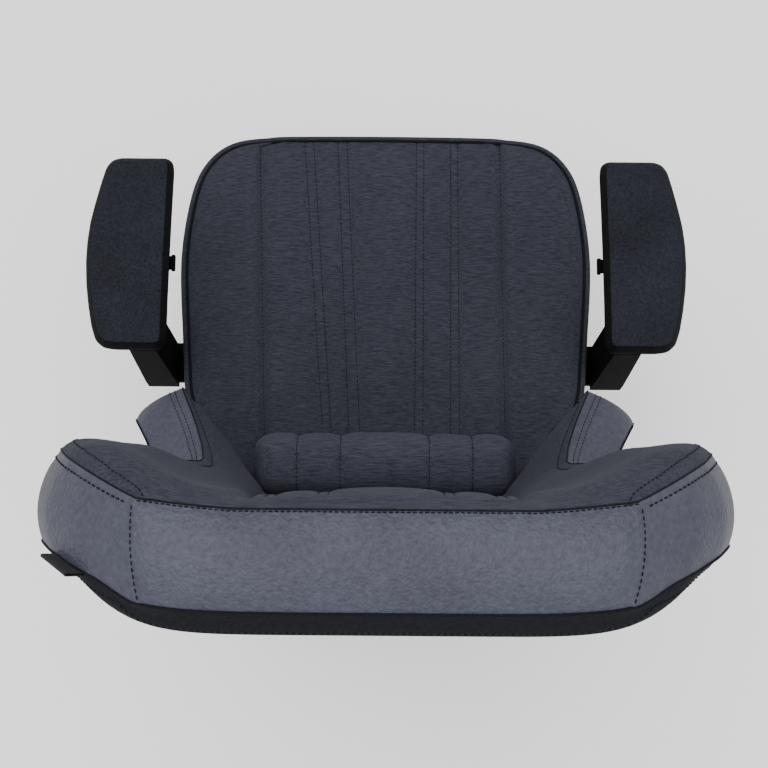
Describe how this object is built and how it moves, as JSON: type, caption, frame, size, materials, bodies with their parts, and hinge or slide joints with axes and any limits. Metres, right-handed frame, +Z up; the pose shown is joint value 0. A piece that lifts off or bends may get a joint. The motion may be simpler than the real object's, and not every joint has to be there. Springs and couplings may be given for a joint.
{
  "type": "gaming chair",
  "caption": "Swivel chair on a castered star base with a reclining winged backrest, a lumbar pillow and adjustable arms.",
  "frame": {"origin": "on the floor, under the middle of the whole chair's box at rest", "axes": "+Z up; the seat's front faces -Y; the sitter's left is +X"},
  "size_m": [0.698, 0.7436, 1.3046],
  "materials": {
    "black_nylon": "fine-textured moulded nylon",
    "caster_wheel": "satin nylon wheel",
    "black_steel": "black powder coat",
    "bright_steel": "zinc-plated steel",
    "white_nylon": "natural acetal",
    "plywood": "birch plywood",
    "dark_weave": "dark slub-woven upholstery cloth",
    "arm_skin": "fine-grained black leatherette",
    "strap_web": "black elastic webbing"
  },
  "bodies": {
    "base": {"star_base": "black_nylon", "column_tube": "black_steel", "guide_bush": "white_nylon", "column_shroud": "black_nylon"},
    "caster_1": {"caster_fork_1": "black_nylon"},
    "wheels_1": {"caster_wheels_1": "caster_wheel"},
    "caster_2": {"caster_fork_2": "black_nylon"},
    "wheels_2": {"caster_wheels_2": "caster_wheel"},
    "caster_3": {"caster_fork_3": "black_nylon"},
    "wheels_3": {"caster_wheels_3": "caster_wheel"},
    "caster_4": {"caster_fork_4": "black_nylon"},
    "wheels_4": {"caster_wheels_4": "caster_wheel"},
    "caster_5": {"caster_fork_5": "black_nylon"},
    "wheels_5": {"caster_wheels_5": "caster_wheel"},
    "lift_piston": {"gas_piston": "bright_steel"},
    "mechanism": {"mechanism_housing": "black_steel", "tilt_pin": "bright_steel", "tilt_spring": "bright_steel"},
    "tension_knob": {"tension_knob": "black_nylon"},
    "height_lever": {"height_lever": "black_nylon"},
    "seat": {"seat_plate": "black_steel", "seat_board": "plywood", "seat_cushion": "dark_weave", "seat_bolts": "bright_steel", "arm_bolts": "bright_steel", "hinge_bracket_left": "black_steel", "hinge_cover_left": "black_nylon", "arm_bracket_left": "black_steel", "arm_sleeve_left": "black_nylon", "hinge_bracket_right": "black_steel", "hinge_cover_right": "black_nylon", "arm_bracket_right": "black_steel", "arm_sleeve_right": "black_nylon"},
    "recline_lever": {"recline_lever": "black_nylon"},
    "back": {"back_frame": "black_steel", "hinge_pins": "bright_steel", "backrest": "dark_weave", "lumbar_pillow": "dark_weave", "lumbar_straps": "strap_web", "side_label": "strap_web"},
    "arm_left": {"arm_post_left": "black_nylon"},
    "height_button_left": {"height_button_left": "black_nylon"},
    "pad_swivel_left": {"swivel_plate_left": "black_nylon"},
    "pad_carriage_left": {"slide_carriage_left": "black_nylon"},
    "pad_left": {"pad_base_left": "black_nylon", "arm_pad_left": "arm_skin"},
    "pad_lock_left": {"pad_lock_left": "black_nylon"},
    "arm_right": {"arm_post_right": "black_nylon"},
    "height_button_right": {"height_button_right": "black_nylon"},
    "pad_swivel_right": {"swivel_plate_right": "black_nylon"},
    "pad_carriage_right": {"slide_carriage_right": "black_nylon"},
    "pad_right": {"pad_base_right": "black_nylon", "arm_pad_right": "arm_skin"},
    "pad_lock_right": {"pad_lock_right": "black_nylon"}
  },
  "joints": [
    {"name": "caster_1_swivel", "type": "hinge", "parent": "base", "child": "caster_1", "pos_m": [0, -0.35179, 0.09], "axis": [0, 0, 1], "continuous": true},
    {"name": "wheels_1_roll", "type": "hinge", "parent": "caster_1", "child": "wheels_1", "pos_m": [0, -0.33379, 0.03], "axis": [1, 0, 0], "continuous": true},
    {"name": "caster_2_swivel", "type": "hinge", "parent": "base", "child": "caster_2", "pos_m": [0.28532, -0.1445, 0.09], "axis": [0, 0, 1], "continuous": true},
    {"name": "wheels_2_roll", "type": "hinge", "parent": "caster_2", "child": "wheels_2", "pos_m": [0.2682, -0.13893, 0.03], "axis": [0.309, 0.9511, 0], "continuous": true},
    {"name": "caster_3_swivel", "type": "hinge", "parent": "base", "child": "caster_3", "pos_m": [0.17634, 0.19092, 0.09], "axis": [0, 0, 1], "continuous": true},
    {"name": "wheels_3_roll", "type": "hinge", "parent": "caster_3", "child": "wheels_3", "pos_m": [0.16576, 0.17635, 0.03], "axis": [-0.809, 0.5878, 0], "continuous": true},
    {"name": "caster_4_swivel", "type": "hinge", "parent": "base", "child": "caster_4", "pos_m": [-0.17634, 0.19092, 0.09], "axis": [0, 0, 1], "continuous": true},
    {"name": "wheels_4_roll", "type": "hinge", "parent": "caster_4", "child": "wheels_4", "pos_m": [-0.16576, 0.17635, 0.03], "axis": [-0.809, -0.5878, 0], "continuous": true},
    {"name": "caster_5_swivel", "type": "hinge", "parent": "base", "child": "caster_5", "pos_m": [-0.28532, -0.1445, 0.09], "axis": [0, 0, 1], "continuous": true},
    {"name": "wheels_5_roll", "type": "hinge", "parent": "caster_5", "child": "wheels_5", "pos_m": [-0.2682, -0.13893, 0.03], "axis": [0.309, -0.9511, 0], "continuous": true},
    {"name": "gas_lift", "type": "slide", "parent": "base", "child": "lift_piston", "axis": [0, 0, 1], "range_m": [0, 0.08]},
    {"name": "seat_swivel", "type": "hinge", "parent": "lift_piston", "child": "mechanism", "pos_m": [0, -0.05179, 0.35], "axis": [0, 0, 1], "continuous": true},
    {"name": "tension_turn", "type": "hinge", "parent": "mechanism", "child": "tension_knob", "pos_m": [0, -0.15179, 0.31], "axis": [0, 0, 1], "continuous": true},
    {"name": "height_lever_lift", "type": "hinge", "parent": "mechanism", "child": "height_lever", "pos_m": [-0.063, -0.08579, 0.346], "axis": [0, 1, 0], "range_deg": [0, 6], "stiffness_Nm_per_rad": 8, "springref_deg": -5.73},
    {"name": "seat_tilt", "type": "hinge", "parent": "mechanism", "child": "seat", "pos_m": [0, -0.11179, 0.359], "axis": [-1, 0, 0], "range_deg": [0, 10], "stiffness_Nm_per_rad": 200, "springref_deg": -28.65},
    {"name": "recline_lever_lift", "type": "hinge", "parent": "seat", "child": "recline_lever", "pos_m": [-0.262, 0.12421, 0.388], "axis": [-1, 0, 0], "range_deg": [0, 30], "stiffness_Nm_per_rad": 0.6, "springref_deg": -5.73},
    {"name": "recline", "type": "hinge", "parent": "seat", "child": "back", "pos_m": [0, 0.20796, 0.43246], "axis": [-1, 0, 0], "range_deg": [-4, 58]},
    {"name": "arm_left_height", "type": "slide", "parent": "seat", "child": "arm_left", "axis": [0, 0, 1], "range_m": [0, 0.07]},
    {"name": "arm_left_button", "type": "slide", "parent": "arm_left", "child": "height_button_left", "axis": [-1, 0, 0], "range_m": [0, 0.003], "stiffness_N_per_m": 400},
    {"name": "pad_left_pivot", "type": "hinge", "parent": "arm_left", "child": "pad_swivel_left", "pos_m": [0.296, -0.01279, 0.676], "axis": [0, 0, -1], "range_deg": [-15, 15]},
    {"name": "pad_left_fore_aft", "type": "slide", "parent": "pad_swivel_left", "child": "pad_carriage_left", "axis": [0, -1, 0], "range_m": [-0.025, 0.025]},
    {"name": "pad_left_sideways", "type": "slide", "parent": "pad_carriage_left", "child": "pad_left", "axis": [1, 0, 0], "range_m": [-0.01, 0.01]},
    {"name": "pad_left_lock", "type": "slide", "parent": "pad_left", "child": "pad_lock_left", "axis": [1, 0, 0], "range_m": [0, 0.0025], "stiffness_N_per_m": 300},
    {"name": "arm_right_height", "type": "slide", "parent": "seat", "child": "arm_right", "axis": [0, 0, 1], "range_m": [0, 0.07]},
    {"name": "arm_right_button", "type": "slide", "parent": "arm_right", "child": "height_button_right", "axis": [1, 0, 0], "range_m": [0, 0.003], "stiffness_N_per_m": 400},
    {"name": "pad_right_pivot", "type": "hinge", "parent": "arm_right", "child": "pad_swivel_right", "pos_m": [-0.296, -0.01279, 0.676], "axis": [0, 0, 1], "range_deg": [-15, 15]},
    {"name": "pad_right_fore_aft", "type": "slide", "parent": "pad_swivel_right", "child": "pad_carriage_right", "axis": [0, -1, 0], "range_m": [-0.025, 0.025]},
    {"name": "pad_right_sideways", "type": "slide", "parent": "pad_carriage_right", "child": "pad_right", "axis": [-1, 0, 0], "range_m": [-0.01, 0.01]},
    {"name": "pad_right_lock", "type": "slide", "parent": "pad_right", "child": "pad_lock_right", "axis": [-1, 0, 0], "range_m": [0, 0.0025], "stiffness_N_per_m": 300}
  ]
}
